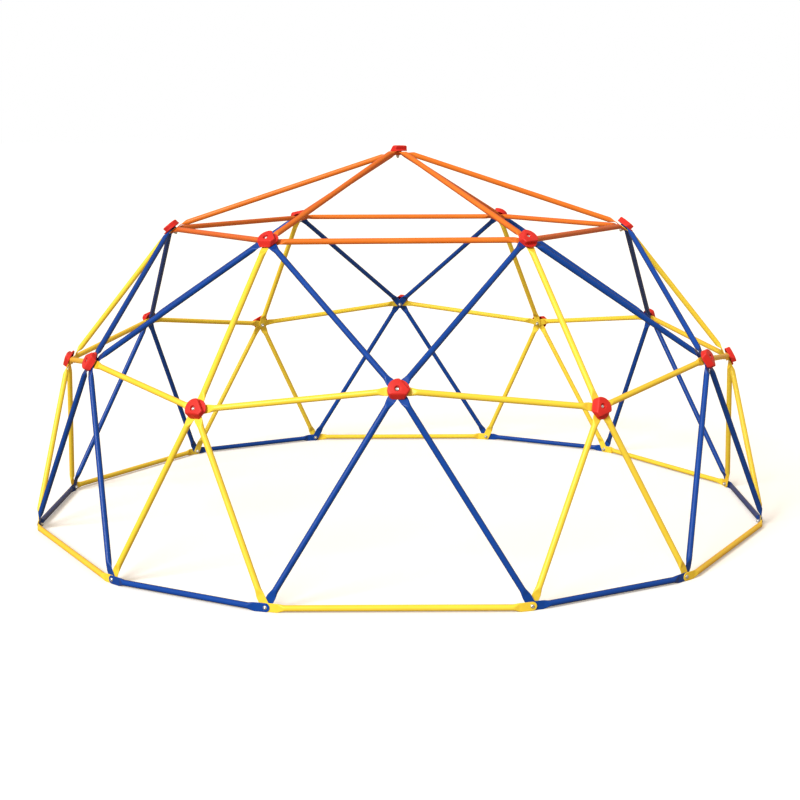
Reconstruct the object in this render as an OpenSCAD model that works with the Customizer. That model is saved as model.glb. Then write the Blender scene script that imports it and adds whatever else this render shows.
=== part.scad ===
// Geodesic dome climber: bolted steel tubes with flattened ends, and moulded grip caps on the
// hubs. The origin is on the ground at the centre of the dome, +Z is up, and the front is -Y.
// The dome has six equal sectors. They are numbered 1 to 6, anticlockwise seen from above.
// A blue hub leads each sector, and the blue hub of sector 1 faces the front.

/* [Dome] */
// Radius of the ground ring, measured to the middle of the stacks of flattened ends
ground_r = 1525; // [1400:5:1650]
// Half the angle, seen from the centre, that one yellow ground tube spans (degrees)
ground_half_angle = 17.25; // [15.5:0.05:18.5]
// Height of the apex hub above the ground ring
apex_rise = 1501; // [1440:1:1560]
// Radius of the crown ring of hubs
crown_r = 945; // [900:1:1000]
// Height of the crown ring above the ground ring
crown_rise = 1187; // [1130:1:1240]
// Radius of the middle hubs that carry only yellow tubes
yellow_hub_r = 1397; // [1360:1:1430]
// Height of those yellow hubs above the ground ring
yellow_hub_rise = 635; // [600:1:660]
// Radius of the middle hubs where the blue tubes meet
blue_hub_r = 1347; // [1320:1:1390]
// Height of those blue hubs above the ground ring
blue_hub_rise = 722; // [690:1:760]

/* [Tubes] */
// Outside diameter of every tube
tube_d = 22; // [20:0.5:25]
// Wall thickness of every tube
tube_wall = 1.2; // [1:0.1:1.5]
// Width of a flattened tube end
tab_w = 32; // [28:0.5:34]
// Thickness of a flattened tube end
tab_t = 2.6; // [2.4:0.1:3]
// Length of the flat, from the bolt hole to the bend
tab_run = 40; // [38:1:46]
// Length over which the round tube turns into the flat
flare_run = 25; // [20:1:30]
// Bolt hole through a flattened end
tab_hole_d = 8.6; // [8.4:0.1:9]
// Gap between neighbouring flats in a stack, for the paint film
stack_gap = 0.1; // [0.1:0.05:0.2]

/* [Hub caps] */
// Height of a cap
cap_h = 24; // [22:0.5:26]
// Radius of the round flange at the foot of a cap
flange_r = 39; // [36:0.5:39]
// Thickness of the flange
flange_t = 5.5; // [5:0.5:7]
// How far the flange's centre is from the bolt, along and across the ledge's direction
flange_shift = 2.8; // [2:0.2:2.8]
// How much smaller than the flange the grip above it is
grip_step = 0.8; // [0.6:0.1:1.5]
// Chamfer round the grip's face
face_edge = 3; // [2:0.5:4]
// Distance from the flange's centre to the foot of the wall over the finger ledge
ledge_reach = 24; // [23:0.5:27]
// Outward lean of that wall from upright, which makes the fingers' hold (degrees)
ledge_lean = 10; // [0:1:12]
// Direction of the sloped facet, measured from the finger ledge (degrees)
facet_angle = -128; // [-135:1:-115]
// Distance from the flange's centre to the facet at the cap's foot
facet_reach = 31.5; // [30:0.5:34]
// Lean of the facet from upright (degrees)
facet_lean = 28; // [20:1:30]
// Direction of the upright flat for the thumb, measured from the finger ledge (degrees)
thumb_angle = -73; // [-80:1:-65]
// Distance from the flange's centre to the thumb flat
thumb_reach = 33.5; // [31:0.5:35]
// Wall thickness of the moulding
cap_wall = 3; // [2.5:0.1:3.5]
// Diameter of the recess that holds the bolt head
recess_d = 20; // [18:0.5:21]
// Height of the recess floor above the foot of the cap
recess_floor = 16.5; // [14:0.5:17]
// Chamfer round the mouth of the recess
recess_edge = 1.5; // [1:0.5:2]
// Diameter of the boss round the bolt
boss_d = 26; // [25:0.5:28]

/* [Fasteners] */
// Diameter of a bolt
bolt_d = 8; // [8:0.1:8.2]
// Diameter of a bolt's button head
head_d = 15; // [14:0.5:16]
// Height of a bolt's button head
head_h = 4.6; // [4:0.1:5]
// Upright edge of a button head
head_edge = 0.6; // [0.4:0.1:1]
// Size of a head's hexagon socket across its flats
socket_af = 5; // [4:0.5:6]
// Depth of a head's hexagon socket
socket_depth = 2.8; // [2:0.1:3]
// Outside diameter of a washer
washer_d = 17; // [16:0.5:20]
// Thickness of a washer
washer_t = 1.6; // [1.2:0.1:2]
// Size of a cap nut across its flats
nut_af = 13; // [12:0.5:14]
// Height of a cap nut's hexagon
nut_hex_h = 6; // [5:0.5:7]
// Radius of a cap nut's dome
nut_dome_r = 6; // [5.5:0.1:6.2]
// Depth of the blind hole in a cap nut
nut_bore_depth = 8.5; // [8:0.1:9]
// Length of bolt held inside a cap nut
bolt_grip = 8; // [7:0.1:8]

/* [Hidden] */
$fn = 48;
eps = 0.01;
clear = 0.1;                    // gap that parts which touch are drawn with
cap_clear = 0.3;                // gap under a cap, so that it clears the bends below it
sectors = 6;
sector_angle = 360 / sectors;
tube_r = tube_d / 2;
bore_r = tube_r - tube_wall;
stack_pitch = tab_t + stack_gap;
ground_z = tab_w / 2;           // the flats of the ground ring stand on their lower edges
centre = [0, 0, ground_z];
bend_r = tab_t / 2 + 0.15;      // the bend is rounded by a bead slightly thicker than the flat
bend_w = tab_w - 1;             // and it stops short of the flat's edges
wedge_spare = 0.1;              // keeps the flattening wedge clear of the round tube
wedge_r = tab_w / 2 - 0.1;      // half the wedge's width at the bend, just inside the flat's edges
bore_close = 1.5;               // distance from the bend at which the bore closes

// Number of flattened ends bolted together at each kind of hub
apex_stack = 6;
crown_stack = 6;
yellow_stack = 5;
blue_stack = 6;
ground_stack = 4;

// Level of each flattened end in the stack of every ground hub, one row per sector. In a row:
// the blue ground tube, the yellow ground tube, the yellow tube from above, the blue one.
left_levels = [[0, 1, 2, 3], [1, 0, 2, 3], [0, 2, 3, 1], [0, 2, 3, 1], [0, 1, 3, 2], [3, 0, 1, 2]];
right_levels = [[2, 0, 3, 1], [3, 0, 2, 1], [0, 2, 3, 1], [2, 0, 1, 3], [3, 0, 1, 2], [0, 1, 3, 2]];
ground_blue = 0;
ground_yellow = 1;
yellow_leg = 2;
blue_leg = 3;

// Direction of each cap's finger ledge, seen from outside: 0 points right, 90 points up
apex_cap_turn = -52;
crown_cap_turn = [40, -85, -90, 35, 200, -90];
yellow_cap_turn = [38, -75, -90, -150, 60, 90];
blue_cap_turn = [38, -30, -40, 170, 75, 110];

GROUPS = ["apex_spoke", "crown_ring_tube", "upper_yellow_tube", "upper_blue_pair",
          "middle_ring_pair", "lower_yellow_pair", "lower_blue_pair",
          "ground_yellow_tube", "ground_blue_tube"];

// ---- Places of the hubs. k counts the sectors from 0, and wraps round. ----

function unit(v) = v / norm(v);
function on_ring(r, angle, rise) = [r * cos(angle), r * sin(angle), ground_z + rise];
function lead_angle(k) = -90 + sector_angle * k;
function side_angle(k) = lead_angle(k) - sector_angle / 2;

apex = [0, 0, ground_z + apex_rise];
function crown(k) = on_ring(crown_r, side_angle(k), crown_rise);
function yellow_hub(k) = on_ring(yellow_hub_r, side_angle(k), yellow_hub_rise);
function blue_hub(k) = on_ring(blue_hub_r, lead_angle(k), blue_hub_rise);
function ground_left(k) = on_ring(ground_r, lead_angle(k) - ground_half_angle, 0);
function ground_right(k) = on_ring(ground_r, lead_angle(k) + ground_half_angle, 0);
function left_level(k, tube) = left_levels[k % sectors][tube];
function right_level(k, tube) = right_levels[k % sectors][tube];

// Every bolt points away from the middle of the ground ring
function outward(hub) = unit(hub - centre);

// Middle of the flat at one level of a hub's stack. Level 0 is the outermost.
function seat(hub, level, stack) =
    hub + outward(hub) * ((stack - 1) / 2 - level) * stack_pitch;

// Part of a direction that lies across the bolt of a hub
function across(hub, v) = unit(v - outward(hub) * (v * outward(hub)));

// ---- One tube: round in the middle, flattened, bent and drilled at each end ----

// Axes of a frame with X along a tube and Z outward, at the given origin
function tube_frame(x, out, origin) =
    let (y = unit(cross(out, x)), z = cross(x, y))
    [[x.x, y.x, z.x, origin.x],
     [x.y, y.y, z.y, origin.y],
     [x.z, y.z, z.z, origin.z],
     [0, 0, 0, 1]];

// Round body between the bends, pressed to a wedge at both ends, with its bore
module tube_body(length) {
    near = flare_run;
    far = length - flare_run;
    flat_z = tab_t / 2;
    round_z = tube_r + wedge_spare;
    difference() {
        intersection() {
            rotate([0, 90, 0])
                rotate_extrude()
                    polygon([[0, 0], [wedge_r, 0], [tube_r, near],
                             [tube_r, far], [wedge_r, length], [0, length]]);
            rotate([90, 0, 0])
                linear_extrude(height = tab_w + 2, center = true)
                    polygon([[0, -flat_z], [near, -round_z], [far, -round_z], [length, -flat_z],
                             [length, flat_z], [far, round_z], [near, round_z], [0, flat_z]]);
        }
        rotate([0, 90, 0])
            rotate_extrude()
                polygon([[0, bore_close], [bore_r, near],
                         [bore_r, far], [0, length - bore_close]]);
    }
}

// Flat end with its bolt hole, reaching back from a bend at the origin
module tab(bend_angle) {
    rotate([90, 0, 0])
        cylinder(r = bend_r, h = bend_w, center = true);
    rotate([0, -bend_angle, 0])
        translate([-tab_run, 0, -tab_t / 2])
            difference() {
                linear_extrude(tab_t)
                    union() {
                        circle(d = tab_w);
                        translate([0, -tab_w / 2])
                            square([tab_run, tab_w]);
                    }
                translate([0, 0, -1])
                    cylinder(d = tab_hole_d, h = tab_t + 2);
            }
}

// A tube between two hubs, with the stack level and stack size at each end
module tube(hub_a, level_a, stack_a, hub_b, level_b, stack_b) {
    seat_a = seat(hub_a, level_a, stack_a);
    seat_b = seat(hub_b, level_b, stack_b);
    flat_a = across(hub_a, seat_b - seat_a);
    flat_b = across(hub_b, seat_a - seat_b);
    bend_a = seat_a + flat_a * tab_run;
    bend_b = seat_b + flat_b * tab_run;
    length = norm(bend_b - bend_a);
    x = (bend_b - bend_a) / length;
    multmatrix(tube_frame(x, outward(hub_a) + outward(hub_b), bend_a)) {
        tube_body(length);
        tab(acos(flat_a * x));
        translate([length, 0, 0])
            mirror([1, 0, 0])
                tab(acos(-flat_b * x));
    }
}

// ---- Tubes of one sector ----

module apex_spoke(k) {
    color([0.93, 0.42, 0.15])
        tube(apex, k, apex_stack, crown(k), 3, crown_stack);
}

module crown_ring_tube(k) {
    color([0.93, 0.42, 0.15])
        tube(crown(k), 5, crown_stack, crown(k + 1), 4, crown_stack);
}

module upper_yellow_tube(k) {
    color([0.96, 0.84, 0.16])
        tube(crown(k), 2, crown_stack, yellow_hub(k), 4, yellow_stack);
}

module upper_blue_pair(k) {
    color([0.05, 0.22, 0.62]) {
        tube(crown(k), 1, crown_stack, blue_hub(k), 4, blue_stack);
        tube(crown(k + 1), 0, crown_stack, blue_hub(k), 5, blue_stack);
    }
}

module middle_ring_pair(k) {
    color([0.96, 0.84, 0.16]) {
        tube(yellow_hub(k), 3, yellow_stack, blue_hub(k), 2, blue_stack);
        tube(yellow_hub(k + 1), 2, yellow_stack, blue_hub(k), 3, blue_stack);
    }
}

module lower_yellow_pair(k) {
    color([0.96, 0.84, 0.16]) {
        tube(yellow_hub(k), 0, yellow_stack,
             ground_left(k), left_level(k, yellow_leg), ground_stack);
        tube(yellow_hub(k), 1, yellow_stack,
             ground_right(k + 5), right_level(k + 5, yellow_leg), ground_stack);
    }
}

module lower_blue_pair(k) {
    color([0.05, 0.22, 0.62]) {
        tube(blue_hub(k), 0, blue_stack,
             ground_left(k), left_level(k, blue_leg), ground_stack);
        tube(blue_hub(k), 1, blue_stack,
             ground_right(k), right_level(k, blue_leg), ground_stack);
    }
}

module ground_yellow_tube(k) {
    color([0.96, 0.84, 0.16])
        tube(ground_left(k), left_level(k, ground_yellow), ground_stack,
             ground_right(k), right_level(k, ground_yellow), ground_stack);
}

module ground_blue_tube(k) {
    color([0.05, 0.22, 0.62])
        tube(ground_right(k + 5), right_level(k + 5, ground_blue), ground_stack,
             ground_left(k), left_level(k, ground_blue), ground_stack);
}

// ---- Hub caps ----

// Places its children on a hub: Z points outward, X to the right and Y up seen from outside
module on_hub(hub, turn = 0) {
    z = outward(hub);
    x = norm([z.x, z.y]) < eps ? [1, 0, 0] : unit(cross([0, 0, 1], z));
    y = cross(z, x);
    multmatrix([[x.x, y.x, z.x, hub.x],
                [x.y, y.y, z.y, hub.y],
                [x.z, y.z, z.z, hub.z],
                [0, 0, 0, 1]])
        rotate(turn)
            children();
}

// Takes away all that lies further than reach from the flange's centre in one direction
module cap_cut(angle, reach, lean) {
    rotate(angle)
        translate([reach, 0, 0])
            rotate([0, -lean, 0])
                translate([0, -flange_r, -flange_r])
                    cube([flange_r, flange_r * 2, flange_r * 3]);
}

// Outer form of a cap about its flange's centre, drawn smaller all round by inset.
// The finger ledge is on the +X side.
module cap_form(inset) {
    rim_r = flange_r - inset;
    grip_r = rim_r - grip_step;
    ledge_z = flange_t - inset;
    chamfer_z = cap_h - face_edge - inset;
    wall_x = ledge_reach - inset;
    difference() {
        union() {
            cylinder(r = rim_r, h = ledge_z);
            difference() {
                union() {
                    cylinder(r = grip_r, h = chamfer_z);
                    translate([0, 0, chamfer_z])
                        cylinder(r1 = grip_r, r2 = grip_r - face_edge, h = face_edge);
                }
                rotate([90, 0, 0])
                    linear_extrude(height = flange_r * 2, center = true)
                        polygon([[wall_x, ledge_z],
                                 [wall_x + cap_h * tan(ledge_lean), ledge_z + cap_h],
                                 [flange_r * 2, ledge_z + cap_h],
                                 [flange_r * 2, ledge_z]]);
            }
        }
        cap_cut(facet_angle, facet_reach - inset / cos(facet_lean), facet_lean);
        cap_cut(thumb_angle, thumb_reach - inset, 0);
    }
}

// A whole cap about its bolt: a shell with a boss, standing on the plane z = 0
module hub_cap() {
    difference() {
        translate([flange_shift, -flange_shift, 0])
            cap_form(0);
        difference() {
            translate([flange_shift, -flange_shift, -eps])
                cap_form(cap_wall);
            cylinder(d = boss_d, h = cap_h);
        }
        translate([0, 0, -1])
            cylinder(d = tab_hole_d, h = cap_h + 2);
        translate([0, 0, recess_floor])
            cylinder(d = recess_d, h = cap_h);
        translate([0, 0, cap_h - recess_edge])
            cylinder(d1 = recess_d, d2 = recess_d + recess_edge * 4, h = recess_edge * 2);
    }
}

module cap_on(hub, stack, turn) {
    on_hub(hub, turn)
        translate([0, 0, stack * stack_pitch / 2 + cap_clear])
            hub_cap();
}

module crown_caps() {
    color([0.86, 0.08, 0.07]) {
        cap_on(apex, apex_stack, apex_cap_turn);
        for (k = [0 : sectors - 1])
            cap_on(crown(k), crown_stack, crown_cap_turn[k]);
    }
}

module middle_caps() {
    color([0.86, 0.08, 0.07])
        for (k = [0 : sectors - 1]) {
            cap_on(yellow_hub(k), yellow_stack, yellow_cap_turn[k]);
            cap_on(blue_hub(k), blue_stack, blue_cap_turn[k]);
        }
}

// ---- Fasteners ----

module hexagon(across_flats, height) {
    cylinder(d = across_flats / cos(30), h = height, $fn = 6);
}

// Button-head bolt with its head standing on z = 0 and its shank below
module bolt(shank) {
    // The head is a slice of a ball that meets the upright edge
    rise = head_h - head_edge;
    ball_r = (rise * rise + head_d * head_d / 4) / (2 * rise);
    difference() {
        union() {
            intersection() {
                cylinder(d = head_d, h = head_h);
                translate([0, 0, head_h - ball_r])
                    sphere(r = ball_r);
            }
            translate([0, 0, -shank])
                cylinder(d = bolt_d, h = shank + 1);
        }
        translate([0, 0, head_h - socket_depth])
            hexagon(socket_af, socket_depth + 1);
    }
}

// Thickness of washer and gaps between a stack's inner face and its nut
function washer_space() = washer_t + 2 * clear;

module hub_bolt(hub, stack) {
    head_z = stack * stack_pitch / 2 + cap_clear + recess_floor + clear;
    on_hub(hub)
        translate([0, 0, head_z])
            bolt(head_z + stack * stack_pitch / 2 + washer_space() + bolt_grip);
}

module ground_bolt(hub) {
    head_z = ground_stack * stack_pitch / 2 + clear;
    on_hub(hub)
        translate([0, 0, head_z])
            bolt(head_z + ground_stack * stack_pitch / 2 + washer_space() + bolt_grip);
}

module washer_on(hub, stack) {
    on_hub(hub)
        translate([0, 0, -stack * stack_pitch / 2 - clear - washer_t])
            difference() {
                cylinder(d = washer_d, h = washer_t);
                translate([0, 0, -1])
                    cylinder(d = tab_hole_d, h = washer_t + 2);
            }
}

// Low cap nut on the inside of a hub, its dome pointing inward
module cap_nut_on(hub, stack) {
    on_hub(hub)
        translate([0, 0, -stack * stack_pitch / 2 - washer_space()])
            mirror([0, 0, 1])
                difference() {
                    union() {
                        hexagon(nut_af, nut_hex_h);
                        translate([0, 0, nut_hex_h - 1])
                            sphere(r = nut_dome_r);
                    }
                    translate([0, 0, -1])
                        cylinder(d = bolt_d + 0.1, h = nut_bore_depth + 1);
                }
}

module hub_bolts() {
    color([0.8, 0.81, 0.83]) {
        hub_bolt(apex, apex_stack);
        for (k = [0 : sectors - 1]) {
            hub_bolt(crown(k), crown_stack);
            hub_bolt(yellow_hub(k), yellow_stack);
            hub_bolt(blue_hub(k), blue_stack);
        }
    }
}

module ground_bolts() {
    color([0.8, 0.81, 0.83])
        for (k = [0 : sectors - 1]) {
            ground_bolt(ground_left(k));
            ground_bolt(ground_right(k));
        }
}

module washers() {
    color([0.75, 0.76, 0.78]) {
        washer_on(apex, apex_stack);
        for (k = [0 : sectors - 1]) {
            washer_on(crown(k), crown_stack);
            washer_on(yellow_hub(k), yellow_stack);
            washer_on(blue_hub(k), blue_stack);
            washer_on(ground_left(k), ground_stack);
            washer_on(ground_right(k), ground_stack);
        }
    }
}

module cap_nuts() {
    color([0.7, 0.71, 0.74]) {
        cap_nut_on(apex, apex_stack);
        for (k = [0 : sectors - 1]) {
            cap_nut_on(crown(k), crown_stack);
            cap_nut_on(yellow_hub(k), yellow_stack);
            cap_nut_on(blue_hub(k), blue_stack);
            cap_nut_on(ground_left(k), ground_stack);
            cap_nut_on(ground_right(k), ground_stack);
        }
    }
}

apex_spoke(0);  // apex_spoke_1
apex_spoke(1);  // apex_spoke_2
apex_spoke(2);  // apex_spoke_3
apex_spoke(3);  // apex_spoke_4
apex_spoke(4);  // apex_spoke_5
apex_spoke(5);  // apex_spoke_6
crown_ring_tube(0);  // crown_ring_tube_1
crown_ring_tube(1);  // crown_ring_tube_2
crown_ring_tube(2);  // crown_ring_tube_3
crown_ring_tube(3);  // crown_ring_tube_4
crown_ring_tube(4);  // crown_ring_tube_5
crown_ring_tube(5);  // crown_ring_tube_6
upper_yellow_tube(0);  // upper_yellow_tube_1
upper_yellow_tube(1);  // upper_yellow_tube_2
upper_yellow_tube(2);  // upper_yellow_tube_3
upper_yellow_tube(3);  // upper_yellow_tube_4
upper_yellow_tube(4);  // upper_yellow_tube_5
upper_yellow_tube(5);  // upper_yellow_tube_6
upper_blue_pair(0);  // upper_blue_pair_1
upper_blue_pair(1);  // upper_blue_pair_2
upper_blue_pair(2);  // upper_blue_pair_3
upper_blue_pair(3);  // upper_blue_pair_4
upper_blue_pair(4);  // upper_blue_pair_5
upper_blue_pair(5);  // upper_blue_pair_6
middle_ring_pair(0);  // middle_ring_pair_1
middle_ring_pair(1);  // middle_ring_pair_2
middle_ring_pair(2);  // middle_ring_pair_3
middle_ring_pair(3);  // middle_ring_pair_4
middle_ring_pair(4);  // middle_ring_pair_5
middle_ring_pair(5);  // middle_ring_pair_6
lower_yellow_pair(0);  // lower_yellow_pair_1
lower_yellow_pair(1);  // lower_yellow_pair_2
lower_yellow_pair(2);  // lower_yellow_pair_3
lower_yellow_pair(3);  // lower_yellow_pair_4
lower_yellow_pair(4);  // lower_yellow_pair_5
lower_yellow_pair(5);  // lower_yellow_pair_6
lower_blue_pair(0);  // lower_blue_pair_1
lower_blue_pair(1);  // lower_blue_pair_2
lower_blue_pair(2);  // lower_blue_pair_3
lower_blue_pair(3);  // lower_blue_pair_4
lower_blue_pair(4);  // lower_blue_pair_5
lower_blue_pair(5);  // lower_blue_pair_6
ground_yellow_tube(0);  // ground_yellow_tube_1
ground_yellow_tube(1);  // ground_yellow_tube_2
ground_yellow_tube(2);  // ground_yellow_tube_3
ground_yellow_tube(3);  // ground_yellow_tube_4
ground_yellow_tube(4);  // ground_yellow_tube_5
ground_yellow_tube(5);  // ground_yellow_tube_6
ground_blue_tube(0);  // ground_blue_tube_1
ground_blue_tube(1);  // ground_blue_tube_2
ground_blue_tube(2);  // ground_blue_tube_3
ground_blue_tube(3);  // ground_blue_tube_4
ground_blue_tube(4);  // ground_blue_tube_5
ground_blue_tube(5);  // ground_blue_tube_6
crown_caps();
middle_caps();
hub_bolts();
ground_bolts();
washers();
cap_nuts();
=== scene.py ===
"""The finished look of a geodesic dome climber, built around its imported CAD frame.

Everything is in metres, in the frame's own coordinates: the dome stands on z = 0, its axis is
the Z axis, and its front is -Y. Every CAD node gets one finished piece that stands for it.
"""

import math

import bmesh
import bpy
from mathutils import Matrix, Vector


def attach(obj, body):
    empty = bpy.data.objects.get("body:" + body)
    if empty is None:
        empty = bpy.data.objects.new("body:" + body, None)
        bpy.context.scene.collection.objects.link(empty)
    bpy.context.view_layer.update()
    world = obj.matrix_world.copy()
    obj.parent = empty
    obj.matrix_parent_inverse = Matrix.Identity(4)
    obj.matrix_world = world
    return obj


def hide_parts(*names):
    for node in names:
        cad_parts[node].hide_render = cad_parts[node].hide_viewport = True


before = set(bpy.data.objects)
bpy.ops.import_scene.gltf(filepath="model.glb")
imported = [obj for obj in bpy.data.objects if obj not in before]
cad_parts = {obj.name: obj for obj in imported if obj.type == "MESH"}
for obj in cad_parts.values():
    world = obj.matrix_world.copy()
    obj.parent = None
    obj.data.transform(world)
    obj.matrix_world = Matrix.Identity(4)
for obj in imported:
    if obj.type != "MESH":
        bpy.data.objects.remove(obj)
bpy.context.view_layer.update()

MM = 0.001
SECTORS = 6

# ---- Sizes shared with the CAD part. Only the flare is 4 mm longer, as it eases in and out ----

TUBE_R = 11 * MM
TAB_W = 32 * MM
TAB_T = 2.6 * MM
TAB_RUN = 40 * MM
FLARE_RUN = 29 * MM
HOLE_R = 4.3 * MM
STACK_PITCH = 2.7 * MM
CLEAR = 0.1 * MM
CAP_CLEAR = 0.3 * MM
RECESS_FLOOR = 16.5 * MM
WASHER_R = 8.5 * MM
WASHER_T = 1.6 * MM
HEAD_R = 7.5 * MM
HEAD_H = 4.6 * MM
BOLT_R = 4 * MM
BOLT_GRIP = 8 * MM
NUT_AF = 13 * MM
NUT_HEX_H = 6 * MM
NUT_DOME_R = 6 * MM

# Number of flattened ends that are bolted together at each kind of hub
STACK = {"apex": 6, "crown": 6, "yellow": 5, "blue": 6, "ground_left": 4, "ground_right": 4}

# Level of each flattened end in the stack of every ground hub, one row per sector. In a row:
# the blue ground tube, the yellow ground tube, the yellow tube from above, the blue one.
GROUND_ENDS = ["ground_blue", "ground_yellow", "yellow_leg", "blue_leg"]
GROUND_LEVELS = {
    "ground_left": [
        (0, 1, 2, 3),
        (1, 0, 2, 3),
        (0, 2, 3, 1),
        (0, 2, 3, 1),
        (0, 1, 3, 2),
        (3, 0, 1, 2),
    ],
    "ground_right": [
        (2, 0, 3, 1),
        (3, 0, 2, 1),
        (0, 2, 3, 1),
        (2, 0, 1, 3),
        (3, 0, 1, 2),
        (0, 1, 3, 2),
    ],
}

# Direction of each cap's finger ledge in degrees, seen from outside: 0 is right, 90 is up
CAP_TURNS = {
    "apex": [-52],
    "crown": [40, -85, -90, 35, 200, -90],
    "yellow": [38, -75, -90, -150, 60, 90],
    "blue": [38, -30, -40, 170, 75, 110],
}

# The tubes of sector k: group, slot, and (hub kind, sector offset, level) at both ends of each.
# On the ground the level is a name from GROUND_ENDS. At the apex it is the number of the sector.
TUBES = [
    ("apex_spoke", "orange_paint", [(("apex", 0, "sector"), ("crown", 0, 3))]),
    ("crown_ring_tube", "orange_paint", [(("crown", 0, 5), ("crown", 1, 4))]),
    ("upper_yellow_tube", "yellow_paint", [(("crown", 0, 2), ("yellow", 0, 4))]),
    (
        "upper_blue_pair",
        "blue_paint",
        [(("crown", 0, 1), ("blue", 0, 4)), (("crown", 1, 0), ("blue", 0, 5))],
    ),
    (
        "middle_ring_pair",
        "yellow_paint",
        [(("yellow", 0, 3), ("blue", 0, 2)), (("yellow", 1, 2), ("blue", 0, 3))],
    ),
    (
        "lower_yellow_pair",
        "yellow_paint",
        [
            (("yellow", 0, 0), ("ground_left", 0, "yellow_leg")),
            (("yellow", 0, 1), ("ground_right", -1, "yellow_leg")),
        ],
    ),
    (
        "lower_blue_pair",
        "blue_paint",
        [
            (("blue", 0, 0), ("ground_left", 0, "blue_leg")),
            (("blue", 0, 1), ("ground_right", 0, "blue_leg")),
        ],
    ),
    (
        "ground_yellow_tube",
        "yellow_paint",
        [(("ground_left", 0, "ground_yellow"), ("ground_right", 0, "ground_yellow"))],
    ),
    (
        "ground_blue_tube",
        "blue_paint",
        [(("ground_right", -1, "ground_blue"), ("ground_left", 0, "ground_blue"))],
    ),
]


# ---- Small helpers ----


def mix(a, b, t):
    return a + (b - a) * t


def smooth(t):
    """0 below 0, 1 above 1, and an S-curve between."""
    t = min(max(t, 0.0), 1.0)
    return t * t * (3 - 2 * t)


def soft_min(a, b, blend):
    """The smaller of two lengths, with the corner between them rounded over the blend length."""
    h = min(max(0.5 + 0.5 * (b - a) / blend, 0.0), 1.0)
    return mix(b, a, h) - blend * h * (1 - h)


# ---- Places of the hubs, read from the washers of the frame ----


def find_hubs():
    """Middle of every hub's stack, by kind and sector. A washer lies on the inside of each hub."""
    washers = []
    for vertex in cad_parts["washers"].data.vertices:
        near = [w for w in washers if (w[0] - vertex.co).length < 4 * WASHER_R]
        if near:
            near[0].append(vertex.co.copy())
        else:
            washers.append([vertex.co.copy()])
    middles = []
    for points in washers:
        low = Vector([min(p[i] for p in points) for i in range(3)])
        high = Vector([max(p[i] for p in points) for i in range(3)])
        middles.append((low + high) / 2)
    middles.sort(key=lambda p: -p.z)
    kinds = ["apex"] + ["crown"] * SECTORS + ["blue"] * SECTORS + ["yellow"] * SECTORS
    kinds += ["ground"] * (2 * SECTORS)
    hubs = {kind: [None] * SECTORS for kind in STACK}
    for kind, middle in zip(kinds, middles):
        sector = (math.degrees(math.atan2(middle.y, middle.x)) + 90) / 60
        if kind in ("crown", "yellow"):
            sector += 0.5
        nearest = round(sector)
        if kind == "ground":
            kind = "ground_right" if sector > nearest else "ground_left"
        depth = STACK[kind] * STACK_PITCH / 2 + CLEAR + WASHER_T / 2
        hubs[kind][nearest % SECTORS] = middle + outward(middle) * depth
    hubs["apex"] = [hub for hub in hubs["apex"] if hub] * SECTORS
    return hubs


def outward(point):
    """Direction of the bolt at a hub, which points away from the middle of the ground ring."""
    return (point - GROUND_CENTRE).normalized()


# The ground tubes' flats stand on their lower edges, so the ring lies half a flat above z = 0
GROUND_CENTRE = Vector((0, 0, TAB_W / 2))
HUBS = find_hubs()


def seat(kind, k, level):
    """Middle of a flattened end in the stack of a hub. Level 0 is the outermost."""
    hub = HUBS[kind][k % SECTORS]
    if kind == "apex":
        level = k
    if kind in GROUND_LEVELS:
        level = GROUND_LEVELS[kind][k % SECTORS][GROUND_ENDS.index(level)]
    return hub + outward(hub) * ((STACK[kind] - 1) / 2 - level) * STACK_PITCH


def hub_frame(kind, k, height, turn=0.0):
    """Frame on a hub's bolt axis at a height over the stack's middle: Z out, X right, Y up."""
    hub = HUBS[kind][k]
    z = outward(hub)
    side = Vector((0, 0, 1)).cross(z)
    x = side.normalized() if side.length > 1e-4 else Vector((1, 0, 0))
    y = z.cross(x)
    axes = Matrix((x, y, z)).transposed().to_4x4()
    spin = Matrix.Rotation(math.radians(turn), 4, "Z")
    return Matrix.Translation(hub + z * height) @ axes @ spin


# ---- Meshes ----


class Shell:
    """Points and faces of one piece, collected row by row before they become a mesh."""

    def __init__(self):
        self.points = []
        self.faces = []

    def row(self, points):
        start = len(self.points)
        self.points.extend(points)
        return list(range(start, len(self.points)))

    def bridge(self, a, b, closed=True):
        """Four-sided faces between two rows of the same length."""
        count = len(a)
        for i in range(count if closed else count - 1):
            j = (i + 1) % count
            self.faces.append((a[i], a[j], b[j], b[i]))

    def revolve(self, rows, place, closed=False):
        """Places rings of points and skins them. A closed one joins its last ring to its first."""
        rings = [self.row([place @ Vector(p) for p in row]) for row in rows]
        for a, b in zip(rings, rings[1:]):
            self.bridge(a, b)
        if closed:
            self.bridge(rings[-1], rings[0])
        return rings

    def lid(self, ring, place, centre):
        """Closes a ring with triangles to one middle point."""
        middle = self.row([place @ Vector(centre)])[0]
        for i in range(len(ring)):
            self.faces.append((ring[i], ring[(i + 1) % len(ring)], middle))

    def piece(self, node, slot, sharp):
        """Makes the piece that stands for a CAD node. Edges over the sharp angle stay crisp."""
        mesh = bpy.data.meshes.new(node + "_look")
        mesh.from_pydata(self.points, [], self.faces)
        work = bmesh.new()
        work.from_mesh(mesh)
        bmesh.ops.recalc_face_normals(work, faces=work.faces)
        work.to_mesh(mesh)
        work.free()
        mesh.shade_smooth()
        mesh.set_sharp_from_angle(angle=math.radians(sharp))
        mesh.materials.append(MATERIALS[slot])
        piece = bpy.data.objects.new(node + "_look", mesh)
        bpy.context.scene.collection.objects.link(piece)
        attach(piece, "root")
        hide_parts(node)
        return piece


# ---- Tubes: round in the middle, crushed flat, bent and drilled at both ends ----

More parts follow.
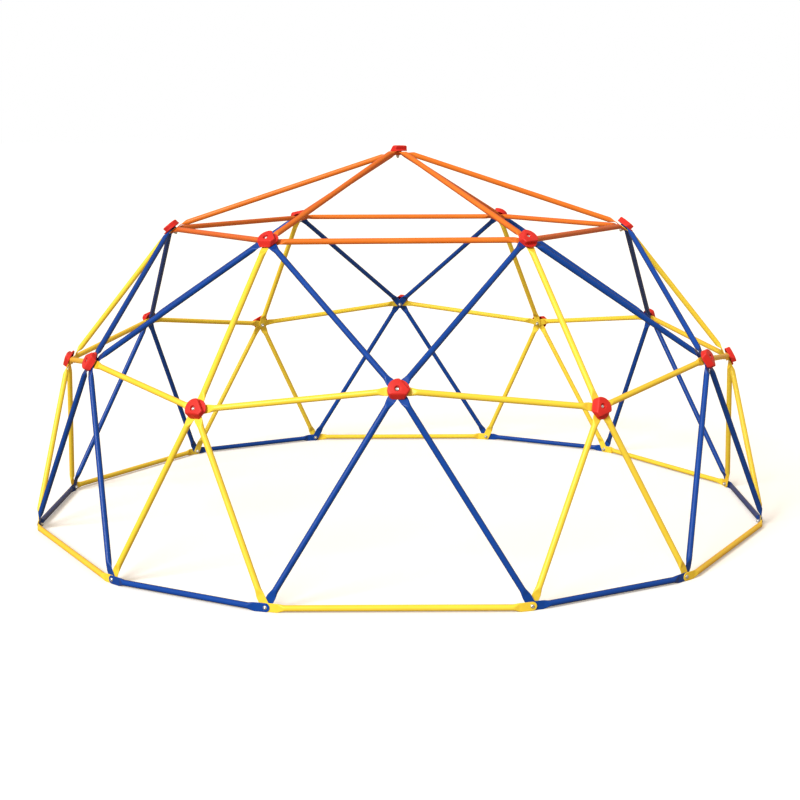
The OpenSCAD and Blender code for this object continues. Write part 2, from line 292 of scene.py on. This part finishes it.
ROW_STEPS = 20  # faces across the flat
EDGE_STEPS = 6  # faces round each folded edge
BEND_R = 16 * MM  # radius of the bend between flat and body
BEND_STEPS = 4
FLARE_STEPS = 12
HOLE_CLOSE = 13 * MM  # distance from the hole's middle at which the end patch starts
TIP_STEPS = 18
FACE_RING = 0.45  # where the extra ring on the end patch lies between the hole and the outline
HOLE_EDGE = 0.35 * MM  # chamfer round the bolt hole
SEAM_DEPTH = 0.5 * MM  # groove between the two pressed walls, seen at the cut tip


def stadium(along, half_t, half_w):
    """Point (across, up) at a distance round a flattened section, from the middle of its top."""
    straight = half_w - half_t
    arc = math.pi * half_t
    girth = 4 * straight + 2 * arc
    along = (along + girth / 2) % girth - girth / 2
    side = 1 if along < 0 else -1
    along = abs(along)
    if along <= straight:
        return side * along, half_t
    if along <= straight + arc:
        turn = (along - straight) / half_t
        return side * (straight + half_t * math.sin(turn)), half_t * math.cos(turn)
    return side * (2 * straight + arc - along), -half_t


def section_shares():
    """Shares of the girth at which every section is sampled, from the middle of the top."""
    straight = TAB_W / 2 - TAB_T / 2
    arc = math.pi * TAB_T / 2
    girth = 4 * straight + 2 * arc
    top = [mix(-straight, straight, i / ROW_STEPS) for i in range(ROW_STEPS)]
    left = [straight + arc * i / EDGE_STEPS for i in range(EDGE_STEPS)]
    half = top + left
    return [s / girth for s in half] + [s / girth + 0.5 for s in half]


SHARES = section_shares()


def section(half_t):
    """Section of a tube pressed to a half-thickness: the metal's girth stays nearly the same."""
    flatness = (TUBE_R - half_t) / (TUBE_R - TAB_T / 2)
    flat_girth = 4 * (TAB_W - TAB_T) / 2 + math.pi * TAB_T
    girth = mix(2 * math.pi * TUBE_R, flat_girth, flatness)
    half_w = (girth - 2 * math.pi * half_t) / 4 + half_t
    return [stadium(share * girth, half_t, half_w) for share in SHARES]


def flare(distance):
    """Half-thickness of the tube at a distance past the bend."""
    t = min(max(distance / FLARE_RUN, 0.0), 1.0)
    return mix(TAB_T / 2, TUBE_R, mix(t, smooth(t), 0.7))


def tube_end(hole, flat, body):
    """Rows from the bolt hole to the round body: (point, direction, half-thickness)."""
    turn = flat.angle(body)
    inward = (body - flat * body.dot(flat)).normalized()
    trim = BEND_R * math.tan(turn / 2)
    start = hole + flat * (TAB_RUN - trim)
    rows = [(hole + flat * u, flat, TAB_T / 2) for u in (HOLE_CLOSE, 20 * MM, 29 * MM)]
    for i in range(BEND_STEPS + 1):
        a = turn * i / BEND_STEPS
        point = start + flat * BEND_R * math.sin(a) + inward * BEND_R * (1 - math.cos(a))
        way = (flat * math.cos(a) + inward * math.sin(a)).normalized()
        past = trim * (2 * i / BEND_STEPS - 1)
        rows.append((point, way, flare(past)))
    bend = hole + flat * TAB_RUN
    first = trim + (FLARE_RUN - trim) / FLARE_STEPS
    for i in range(FLARE_STEPS):
        past = mix(first, FLARE_RUN, i / (FLARE_STEPS - 1))
        rows.append((bend + body * past, body, flare(past)))
    rows.append((bend + body * (FLARE_RUN + 4 * MM), body, TUBE_R))
    return rows


def split_ring(ring):
    """A ring's top row, left edge, bottom row and right edge."""
    n, e = ROW_STEPS, EDGE_STEPS
    top = ring[: n + 1]
    left = ring[n : n + e + 1]
    bottom = ring[n + e : 2 * n + e + 1]
    right = ring[2 * n + e :] + ring[:1]
    return top, left, bottom, right


def tab_edge(angle):
    """Edge of the flat from top to bottom as (outward, up). It is folded round at the sides,
    and cut square at the tip, where the seam between the two walls shows."""
    cut = smooth(math.sin(angle) * 1.6)
    half = TAB_T / 2
    power = mix(1.0, 0.28, cut)
    edge = []
    for i in range(EDGE_STEPS + 1):
        a = math.pi * i / EDGE_STEPS
        out = half * abs(math.sin(a)) ** power
        up = half * math.copysign(abs(math.cos(a)) ** power, math.cos(a))
        if i * 2 == EDGE_STEPS:
            out -= SEAM_DEPTH * cut
        edge.append((out, up))
    return edge


def tab_tip(shell, ring, hole, flat, across, up):
    """Closes a tube's flat end: folded edges, round cut tip, both faces and the bolt hole."""
    inner = (TAB_W - TAB_T) / 2

    def at(u, v, w):
        return hole + flat * u + across * v + up * w

    top, left, bottom, right = split_ring(ring)
    stations = [right[::-1]]
    outline = [(u, inner, 0.0) for u in (HOLE_CLOSE * 0.6, HOLE_CLOSE * 0.25)]
    outline += [
        (-inner * math.sin(a), inner * math.cos(a), a)
        for a in [math.pi * i / TIP_STEPS for i in range(TIP_STEPS + 1)]
    ]
    outline += [(u, -inner, math.pi) for u in (HOLE_CLOSE * 0.25, HOLE_CLOSE * 0.6)]
    for u, v, angle in outline:
        way_u, way_v = -math.sin(angle), math.cos(angle)
        points = [at(u + out * way_u, v + out * way_v, w) for out, w in tab_edge(angle)]
        stations.append(shell.row(points))
    stations.append(left)
    for a, b in zip(stations, stations[1:]):
        shell.bridge(a, b, closed=False)
    faces = []
    for outer, w in (
        ([s[0] for s in stations] + top[-2:0:-1], TAB_T / 2),
        ([s[-1] for s in stations] + bottom[1:-1], -TAB_T / 2),
    ):
        rims = []
        for size, drop in ((None, 0), (HOLE_R + HOLE_EDGE, 0), (HOLE_R, HOLE_EDGE)):
            rim = []
            for index in outer:
                arm = shell.points[index] - hole
                u, v = arm.dot(flat), arm.dot(across)
                far = math.hypot(u, v)
                r = size or mix(HOLE_R, far, FACE_RING)
                rim.append(at(u / far * r, v / far * r, w - math.copysign(drop, w)))
            rims.append(shell.row(rim))
        for a, b in zip([outer] + rims, rims):
            shell.bridge(a, b)
        faces.append(rims[-1])
    shell.bridge(faces[0], faces[1])


def add_tube(shell, end_a, end_b):
    """A tube between two seats. Each end is (hub kind, sector, level)."""
    seats = [seat(*end_a), seat(*end_b)]
    outs = [outward(HUBS[end[0]][end[1] % SECTORS]) for end in (end_a, end_b)]
    flats = []
    for here, there, out in ((0, 1, outs[0]), (1, 0, outs[1])):
        reach = seats[there] - seats[here]
        flats.append((reach - out * reach.dot(out)).normalized())
    bends = [point + flat * TAB_RUN for point, flat in zip(seats, flats)]
    body = (bends[1] - bends[0]).normalized()
    across = (outs[0] + outs[1]).cross(body).normalized()
    rows = tube_end(seats[0], flats[0], body)
    far_rows = tube_end(seats[1], flats[1], -body)
    rows += [(point, -way, half_t) for point, way, half_t in reversed(far_rows)]
    rings = []
    for point, way, half_t in rows:
        up = way.cross(across)
        rings.append(shell.row([point + across * y + up * z for y, z in section(half_t)]))
    for a, b in zip(rings, rings[1:]):
        shell.bridge(a, b)
    tab_tip(shell, rings[0], seats[0], flats[0], across, outs[0])
    tab_tip(shell, rings[-1], seats[1], flats[1], across, outs[1])


# ---- Hub caps: moulded grips with a flange, a finger ledge, a sloped facet and a thumb flat ----

CAP_STEPS = 144
CAP_H = 24 * MM
FLANGE_R = 39 * MM
FLANGE_T = 5.5 * MM
FLANGE_X, FLANGE_Y = 2.8 * MM, -2.8 * MM  # the flange's centre, seen from the bolt
GRIP_R = 38.2 * MM
LEDGE_REACH, LEDGE_LEAN = 24 * MM, math.radians(10)
FACET_ANGLE, FACET_REACH, FACET_LEAN = math.radians(-128), 31.5 * MM, math.radians(28)
THUMB_ANGLE, THUMB_REACH = math.radians(-73), 33.5 * MM
CORNER = 3 * MM  # rounding of the upright corners
EDGE_R = 5 * MM  # rounding of the face's edge
FACE_DROP = 2.0 * MM  # how much lower the face is at its rim than at the bolt
FOOT_R = 1.2 * MM  # rounding where the grip meets the flange
RIM_R = 1.4 * MM  # rounding of the flange's edge
CAP_WALL = 3 * MM
BOSS_R = 13 * MM
RECESS_R = 10 * MM
RECESS_EDGE = 1.3 * MM
MIN_FACING = 0.25  # a flat side whose cosine with a direction is less than this turns away from it
FAR_OFF = 200 * MM


def to_circle(a, radius):
    """Distance from the bolt to a circle round the flange's centre, in direction a."""
    along = FLANGE_X * math.cos(a) + FLANGE_Y * math.sin(a)
    aside = FLANGE_X * math.sin(a) - FLANGE_Y * math.cos(a)
    return along + math.sqrt(radius**2 - aside**2)


def to_flat(a, facing, reach):
    """Distance from the bolt to a flat side in direction a, or a long way if it turns away."""
    away = math.cos(a - facing)
    along = reach + FLANGE_X * math.cos(facing) + FLANGE_Y * math.sin(facing)
    return along / away if away > MIN_FACING else FAR_OFF


def trimmed(r, a, z, inset):
    """A distance from the bolt, after the facet and the thumb flat are cut."""
    facet = FACET_REACH - z * math.tan(FACET_LEAN) - inset / math.cos(FACET_LEAN)
    r = soft_min(r, to_flat(a, FACET_ANGLE, facet), CORNER)
    return soft_min(r, to_flat(a, THUMB_ANGLE, THUMB_REACH - inset), CORNER)


def flange_side(a, z, inset=0.0):
    return trimmed(to_circle(a, FLANGE_R - inset), a, z, inset)


def grip_side(a, z, inset=0.0):
    """Distance from the bolt to the side of the grip. It is cut back over the finger ledge."""
    wall = LEDGE_REACH + (z - FLANGE_T) * math.tan(LEDGE_LEAN) - inset
    r = soft_min(to_circle(a, GRIP_R - inset), to_flat(a, 0.0, wall), CORNER)
    return trimmed(r, a, z, inset)


def face_z(r):
    """Height of the slightly domed face at a distance from the bolt."""
    return CAP_H - FACE_DROP * (r / GRIP_R) ** 2


def face_rim(a):
    """Where the face ends and its rounded edge begins, as (distance, height)."""
    r = grip_side(a, CAP_H) - EDGE_R
    return r, face_z(r)


def step_share(a):
    """1 where the flange stands out from the grip, and near 0 where the grip is flush with it."""
    return min((flange_side(a, FLANGE_T) - grip_side(a, FLANGE_T)) / (2 * FOOT_R), 1.0)


def cap_rows():
    """Rings of a cap from its bolt hole over the face, round the rim and back inside."""
    rows = []

    def add(profile):
        steps = [2 * math.pi * i / CAP_STEPS for i in range(CAP_STEPS)]
        spots = [(a, *profile(a)) for a in steps]
        rows.append([(r * math.cos(a), r * math.sin(a), z) for a, r, z in spots])

    def add_circle(r, z):
        add(lambda a: (r, z))

    # Bolt hole and recess
    add_circle(HOLE_R, RECESS_FLOOR)
    add_circle(RECESS_R - 0.8 * MM, RECESS_FLOOR)
    add_circle(RECESS_R - 0.2 * MM, RECESS_FLOOR + 0.2 * MM)
    add_circle(RECESS_R, RECESS_FLOOR + 0.8 * MM)
    for i in range(5):
        t = math.pi / 2 * i / 4
        r = RECESS_R + RECESS_EDGE * (1 - math.cos(t))
        add_circle(r, face_z(r) - RECESS_EDGE * (1 - math.sin(t)))
    # Face and its rounded edge
    for share in (0.25, 0.5, 0.75, 1.0):

        def across_face(a, share=share):
            r = mix(RECESS_R + RECESS_EDGE, face_rim(a)[0], share)
            return r, face_z(r)

        add(across_face)
    for i in range(1, 7):
        t = math.pi / 2 * i / 6

        def round_edge(a, t=t):
            z = face_rim(a)[1] - EDGE_R * (1 - math.cos(t))
            return grip_side(a, z) - EDGE_R * (1 - math.sin(t)), z

        add(round_edge)
    # Side of the grip, and the rounding at its foot
    foot = FLANGE_T + FOOT_R
    for share in (0.3, 0.6, 0.85):
        z = mix(CAP_H - EDGE_R * 1.5, foot, share)
        add(lambda a, z=z: (grip_side(a, z), z))
    for i in range(4):
        t = math.pi / 2 * i / 3
        z = foot - FOOT_R * math.sin(t)
        add(lambda a, t=t, z=z: (grip_side(a, z) + FOOT_R * (1 - math.cos(t)) * step_share(a), z))
    # Ledge and the flange's rounded rim
    add(lambda a: (mix(grip_side(a, FLANGE_T), flange_side(a, FLANGE_T), 0.5), FLANGE_T))
    for i in range(5):
        t = math.pi / 2 * i / 4
        z = FLANGE_T - RIM_R * (1 - math.cos(t))
        add(lambda a, t=t, z=z: (flange_side(a, z) - RIM_R * (1 - math.sin(t)) * step_share(a), z))
    add(lambda a: (flange_side(a, 0.5 * MM), 0.5 * MM))
    add(lambda a: (flange_side(a, 0.0) - 0.5 * MM, 0.0))
    # Hollow underside with the boss round the bolt
    ceiling = CAP_H - CAP_WALL
    add(lambda a: (flange_side(a, 0.0, CAP_WALL), 0.0))
    add(lambda a: (flange_side(a, FLANGE_T - CAP_WALL, CAP_WALL), FLANGE_T - CAP_WALL))
    add(lambda a: (grip_side(a, FLANGE_T - CAP_WALL, CAP_WALL), FLANGE_T - CAP_WALL + 0.1 * MM))
    add(lambda a: (grip_side(a, ceiling - 2 * MM, CAP_WALL), ceiling - 2 * MM))
    add(lambda a: (max(grip_side(a, ceiling, CAP_WALL) - 2 * MM, BOSS_R + 1 * MM), ceiling))
    add_circle(BOSS_R + 0.5 * MM, ceiling)
    add_circle(BOSS_R, ceiling - 0.5 * MM)
    add_circle(BOSS_R, 0.4 * MM)
    add_circle(BOSS_R - 0.4 * MM, 0.0)
    add_circle(HOLE_R, 0.0)
    return rows


CAP_ROWS = cap_rows()


def add_cap(shell, kind, k):
    height = STACK[kind] * STACK_PITCH / 2 + CAP_CLEAR
    place = hub_frame(kind, k, height, CAP_TURNS[kind][k])
    shell.revolve(CAP_ROWS, place, closed=True)


# ---- Fasteners ----

TURNED_STEPS = 48


def circle_row(r, z):
    steps = [2 * math.pi * i / TURNED_STEPS for i in range(TURNED_STEPS)]
    return [(r * math.cos(a), r * math.sin(a), z) for a in steps]


def hexagon_row(across_flats, z, limit=1.0):
    """Hexagonal ring whose corners are turned down to a round limit, or sharp without one."""
    row = []
    for i in range(TURNED_STEPS):
        a = 2 * math.pi * i / TURNED_STEPS
        beside = (a + math.pi / 6) % (math.pi / 3) - math.pi / 6
        r = min(across_flats / 2 / math.cos(beside), limit)
        row.append((r * math.cos(a), r * math.sin(a), z))
    return row


def bolt_rows(shank):
    """Button head with a hexagon socket, standing on z = 0, and a shank below it."""
    socket, depth = 5 * MM, 2.8 * MM
    edge = 0.6 * MM
    rise = HEAD_H - edge
    ball = (rise * rise + HEAD_R * HEAD_R) / (2 * rise)
    mouth = 3.2 * MM
    rows = [
        circle_row(0.6 * MM, HEAD_H - depth - 0.5 * MM),
        hexagon_row(socket * 0.8, HEAD_H - depth),
        hexagon_row(socket, HEAD_H - depth + 0.1 * MM),
        hexagon_row(socket, HEAD_H - 0.7 * MM),
    ]
    for i in range(9):
        r = mix(mouth, HEAD_R - 0.15 * MM, i / 8)
        rows.append(circle_row(r, HEAD_H - ball + math.sqrt(ball * ball - r * r)))
    rows += [
        circle_row(HEAD_R, edge - 0.1 * MM),
        circle_row(HEAD_R, 0.2 * MM),
        circle_row(HEAD_R - 0.2 * MM, 0),
        circle_row(BOLT_R, 0),
        circle_row(BOLT_R, 0.8 * MM - shank),
        circle_row(BOLT_R - 0.8 * MM, -shank),
    ]
    return rows


def add_bolt(shell, kind, k, raised):
    """A bolt whose head sits in a cap when raised, or straight on the stack."""
    half = STACK[kind] * STACK_PITCH / 2
    head = half + CLEAR + (CAP_CLEAR + RECESS_FLOOR if raised else 0)
    shank = head + half + 2 * CLEAR + WASHER_T + BOLT_GRIP
    place = hub_frame(kind, k, head, 17 * k)
    rings = shell.revolve(bolt_rows(shank), place)
    shell.lid(rings[0], place, (0, 0, HEAD_H - 3.3 * MM))
    shell.lid(rings[-1], place, (0, 0, -shank))


def add_washer(shell, kind, k):
    edge = 0.25 * MM
    outer, inner = WASHER_R, HOLE_R
    rows = [
        circle_row(inner + edge, WASHER_T),
        circle_row(outer - edge * 2, WASHER_T),
        circle_row(outer - edge * 0.6, WASHER_T - edge * 0.6),
        circle_row(outer, WASHER_T - edge * 2),
        circle_row(outer, edge),
        circle_row(outer - edge, 0),
        circle_row(inner + edge, 0),
        circle_row(inner, edge),
        circle_row(inner, WASHER_T - edge),
    ]
    height = -STACK[kind] * STACK_PITCH / 2 - CLEAR - WASHER_T
    shell.revolve(rows, hub_frame(kind, k, height), closed=True)


def add_cap_nut(shell, kind, k):
    """Low cap nut whose open end faces the washer and whose dome points inward."""
    corner = NUT_AF / 2 / math.cos(math.pi / 6)
    turned = NUT_AF / 2 * 0.97
    bore, bore_depth = BOLT_R + 0.05 * MM, 8.5 * MM
    rows = [
        circle_row(bore, -bore_depth),
        circle_row(bore, -0.6 * MM),
        circle_row(bore + 0.6 * MM, 0),
        circle_row(turned, 0),
        hexagon_row(NUT_AF, -0.45 * MM, mix(turned, corner, 0.6)),
        hexagon_row(NUT_AF, -0.9 * MM),
        hexagon_row(NUT_AF, 0.9 * MM - NUT_HEX_H),
        hexagon_row(NUT_AF, 0.45 * MM - NUT_HEX_H, mix(turned, corner, 0.6)),
        hexagon_row(NUT_AF, -NUT_HEX_H, turned),
    ]
    base = NUT_HEX_H - 1 * MM
    for i in range(10):
        a = math.radians(mix(10, 84, i / 9))
        rows.append(circle_row(NUT_DOME_R * math.cos(a), -base - NUT_DOME_R * math.sin(a)))
    height = -STACK[kind] * STACK_PITCH / 2 - 2 * CLEAR - WASHER_T
    place = hub_frame(kind, k, height, 23 * k)
    rings = shell.revolve(rows, place)
    shell.lid(rings[0], place, (0, 0, -bore_depth))
    shell.lid(rings[-1], place, (0, 0, -base - NUT_DOME_R))


# ---- Materials ----


class Nodes:
    """Builds one procedural material: add() makes a node, and link() joins two sockets."""

    def __init__(self, name):
        self.material = bpy.data.materials.new(name)
        self.material.use_nodes = True
        self.tree = self.material.node_tree
        self.shader = self.tree.nodes["Principled BSDF"]
        self.place = self.add("ShaderNodeTexCoord").outputs["Object"]

    def add(self, kind, **values):
        node = self.tree.nodes.new(kind)
        for name, value in values.items():
            setattr(node, name, value)
        return node

    def link(self, source, target):
        self.tree.links.new(source, target)

    def noise(self, scale, detail=3.0, rough=0.5):
        node = self.add("ShaderNodeTexNoise")
        node.inputs["Scale"].default_value = scale
        node.inputs["Detail"].default_value = detail
        node.inputs["Roughness"].default_value = rough
        self.link(self.place, node.inputs["Vector"])
        return node.outputs["Fac"]

    def ramp(self, source, low, high, low_at=0.3, high_at=0.7):
        node = self.add("ShaderNodeMapRange")
        node.inputs["From Min"].default_value = low_at
        node.inputs["From Max"].default_value = high_at
        node.inputs["To Min"].default_value = low
        node.inputs["To Max"].default_value = high
        self.link(source, node.inputs["Value"])
        return node.outputs["Result"]

    def blend(self, share, a, b):
        node = self.add("ShaderNodeMix", data_type="RGBA")
        self.link(share, node.inputs["Factor"])
        for value, socket in ((a, node.inputs["A"]), (b, node.inputs["B"])):
            if isinstance(value, tuple):
                socket.default_value = (*value, 1)
            else:
                self.link(value, socket)
        return node.outputs["Result"]

    def edges(self, low, high):
        """Near 1 on convex edges and 0 elsewhere."""
        return self.ramp(self.add("ShaderNodeNewGeometry").outputs["Pointiness"], 0, 1, low, high)

    def multiply(self, a, b):
        node = self.add("ShaderNodeMath", operation="MULTIPLY")
        for i, value in enumerate((a, b)):
            if isinstance(value, float):
                node.inputs[i].default_value = value
            else:
                self.link(value, node.inputs[i])
        return node.outputs["Value"]

    def bump(self, height, distance, strength, below=None):
        node = self.add("ShaderNodeBump")
        node.inputs["Distance"].default_value = distance
        node.inputs["Strength"].default_value = strength
        self.link(height, node.inputs["Height"])
        if below:
            self.link(below, node.inputs["Normal"])
        return node.outputs["Normal"]


def paint(name, base, shade_and_drift_tone, worn):
    """Gloss powder coat on steel: painted shade (a deeper colour at grazing angles), orange peel,
    rubbed edges.
    """
    n = Nodes(name)
    facing = n.add("ShaderNodeLayerWeight").outputs["Facing"]
    # Painted shade: the colour deepens at grazing angles, so each tube darkens towards its
    # silhouette
    body = n.blend(n.ramp(facing, 0, 1, 0.35, 0.95), base, shade_and_drift_tone)
    drift = n.blend(n.ramp(n.noise(9.0, 2.0), 0, 0.18), body, shade_and_drift_tone)
    rubbed = n.multiply(n.edges(0.52, 0.60), n.ramp(n.noise(260.0, 4.0), 0, 0.4))
    n.link(n.blend(rubbed, drift, worn), n.shader.inputs["Base Color"])
    n.link(n.ramp(n.noise(40.0, 4.0), 0.28, 0.40), n.shader.inputs["Roughness"])
    peel = n.bump(n.noise(650.0, 2.0), 0.00012, 0.35)
    n.link(n.bump(n.noise(2600.0, 2.0), 0.00003, 0.2, peel), n.shader.inputs["Normal"])
    n.shader.inputs["Specular IOR Level"].default_value = 0.28
    return n.material


def plastic(name):
    """Moulded red plastic with a fine spark-eroded grain, duller where hands rub it."""
    n = Nodes(name)
    base = n.blend(n.ramp(n.noise(14.0, 2.0), 0, 1), (0.74, 0.028, 0.020), (0.64, 0.018, 0.015))
    scuffed = n.multiply(n.edges(0.50, 0.56), n.ramp(n.noise(320.0, 4.0), 0, 0.30))
    n.link(n.blend(scuffed, base, (0.82, 0.10, 0.08)), n.shader.inputs["Base Color"])
    n.link(n.ramp(n.noise(60.0, 3.0), 0.38, 0.52), n.shader.inputs["Roughness"])
    grain = n.bump(n.noise(900.0, 3.0, 0.65), 0.00020, 0.40)
    n.link(n.bump(n.noise(120.0, 2.0), 0.0004, 0.12, grain), n.shader.inputs["Normal"])
    n.shader.inputs["Specular IOR Level"].default_value = 0.28
    return n.material


def zinc(name):
    """Bright zinc plate with a faint spangle and a fine grain."""
    n = Nodes(name)
    base = n.blend(n.ramp(n.noise(450.0, 3.0), 0, 1), (0.78, 0.80, 0.81), (0.62, 0.64, 0.66))
    n.link(base, n.shader.inputs["Base Color"])
    n.shader.inputs["Metallic"].default_value = 0.9
    n.link(n.ramp(n.noise(700.0, 3.0), 0.28, 0.42), n.shader.inputs["Roughness"])
    n.link(n.bump(n.noise(1500.0, 3.0), 0.00005, 0.3), n.shader.inputs["Normal"])
    return n.material


# Colours of each paint: seen square on, painted shade seen at a glancing angle, and worn
PAINTS = {
    "orange_paint": ((0.88, 0.225, 0.024), (0.62, 0.06, 0.004), (0.90, 0.33, 0.13)),
    "yellow_paint": ((0.99, 0.76, 0.065), (0.97, 0.50, 0.006), (0.92, 0.80, 0.25)),
    "blue_paint": ((0.001, 0.062, 0.38), (0.001, 0.006, 0.055), (0.03, 0.11, 0.42)),
}
MATERIALS = {name: paint(name, *colours) for name, colours in PAINTS.items()}
MATERIALS["cap_plastic"] = plastic("cap_plastic")
MATERIALS["zinc_steel"] = zinc("zinc_steel")


# ---- The pieces ----

for group, slot, tubes in TUBES:
    for k in range(SECTORS):
        shell = Shell()
        for ends in tubes:
            add_tube(shell, *[(kind, k + offset, level) for kind, offset, level in ends])
        shell.piece(f"{group}_{k + 1}", slot, 35)

shell = Shell()
add_cap(shell, "apex", 0)
for k in range(SECTORS):
    add_cap(shell, "crown", k)
shell.piece("crown_caps", "cap_plastic", 50)

shell = Shell()
for kind in ("yellow", "blue"):
    for k in range(SECTORS):
        add_cap(shell, kind, k)
shell.piece("middle_caps", "cap_plastic", 50)

ALL_HUBS = [("apex", 0)] + [(kind, k) for kind in STACK if kind != "apex" for k in range(SECTORS)]
hub_bolts, ground_bolts, washers, cap_nuts = Shell(), Shell(), Shell(), Shell()
for kind, k in ALL_HUBS:
    raised = not kind.startswith("ground")
    add_bolt(hub_bolts if raised else ground_bolts, kind, k, raised)
    add_washer(washers, kind, k)
    add_cap_nut(cap_nuts, kind, k)
hub_bolts.piece("hub_bolts", "zinc_steel", 30)
ground_bolts.piece("ground_bolts", "zinc_steel", 30)
washers.piece("washers", "zinc_steel", 30)
cap_nuts.piece("cap_nuts", "zinc_steel", 30)


# ---- Floor, light and camera ----


def add_floor():
    """A wide, pale floor. It looks white, but throws little light up at the tubes."""
    mesh = bpy.data.meshes.new("floor")
    half = 300.0
    corners = [(-half, -half, 0), (half, -half, 0), (half, half, 0), (-half, half, 0)]
    mesh.from_pydata(corners, [], [(0, 1, 2, 3)])
    n = Nodes("floor")
    seen = n.blend(n.ramp(n.noise(1.5, 3.0), 0, 1), (1.0, 1.0, 1.0), (0.99, 0.99, 0.99))
    rays = n.add("ShaderNodeLightPath").outputs["Is Camera Ray"]
    n.link(n.blend(rays, (0.36, 0.31, 0.24), seen), n.shader.inputs["Base Color"])
    n.shader.inputs["Emission Color"].default_value = (1, 1, 1, 1)
    n.link(n.multiply(rays, 0.18), n.shader.inputs["Emission Strength"])
    n.shader.inputs["Roughness"].default_value = 1.0
    n.shader.inputs["Specular IOR Level"].default_value = 0.0
    mesh.materials.append(n.material)
    floor = bpy.data.objects.new("floor", mesh)
    floor.location.z = -0.5 * MM
    bpy.context.scene.collection.objects.link(floor)


def add_sun(place, width, strength):
    """A soft key light that shines from a place towards the origin. Its width is in degrees."""
    light = bpy.data.lights.new("key", "SUN")
    light.energy = strength
    light.angle = math.radians(width)
    lamp = bpy.data.objects.new("key", light)
    lamp.location = place
    lamp.rotation_euler = (-lamp.location).to_track_quat("-Z", "Y").to_euler()
    bpy.context.scene.collection.objects.link(lamp)


def add_sky(seen, ambient):
    """White to the camera. As a light it is dimmer and warm, and fills the shadows."""
    world = bpy.data.worlds.new("studio")
    world.use_nodes = True
    tree = world.node_tree
    back = tree.nodes["Background"]
    rays = tree.nodes.new("ShaderNodeLightPath")
    level = tree.nodes.new("ShaderNodeMix")
    level.inputs["A"].default_value = ambient
    level.inputs["B"].default_value = seen
    tree.links.new(rays.outputs["Is Camera Ray"], level.inputs["Factor"])
    tree.links.new(level.outputs["Result"], back.inputs["Strength"])
    tone = tree.nodes.new("ShaderNodeMix")
    tone.data_type = "RGBA"
    tone.inputs["A"].default_value = (1.0, 0.84, 0.64, 1)
    tone.inputs["B"].default_value = (1, 1, 1, 1)
    tree.links.new(rays.outputs["Is Camera Ray"], tone.inputs["Factor"])
    tree.links.new(tone.outputs["Result"], back.inputs["Color"])
    bpy.context.scene.world = world


def add_camera():
    """Stands 6.4 m from the dome's axis at adult eye height and looks slightly down."""
    camera = bpy.data.cameras.new("camera")
    camera.sensor_width = 36
    camera.lens = 67.907
    place = bpy.data.objects.new("camera", camera)
    look = Matrix.Rotation(0.0039, 4, "Z") @ Matrix.Rotation(math.pi / 2 - 0.17453, 4, "X")
    roll = Matrix.Rotation(-0.00606, 4, "Z")
    place.matrix_world = Matrix.Translation((0.0279, -6.3770, 1.5954)) @ look @ roll
    bpy.context.scene.collection.objects.link(place)
    bpy.context.scene.camera = place


add_floor()
add_sky(seen=1.0, ambient=0.60)
add_sun((-3.6, -5.2, 4.3), width=24, strength=2.9)
add_camera()
bpy.context.scene.view_settings.view_transform = "Standard"
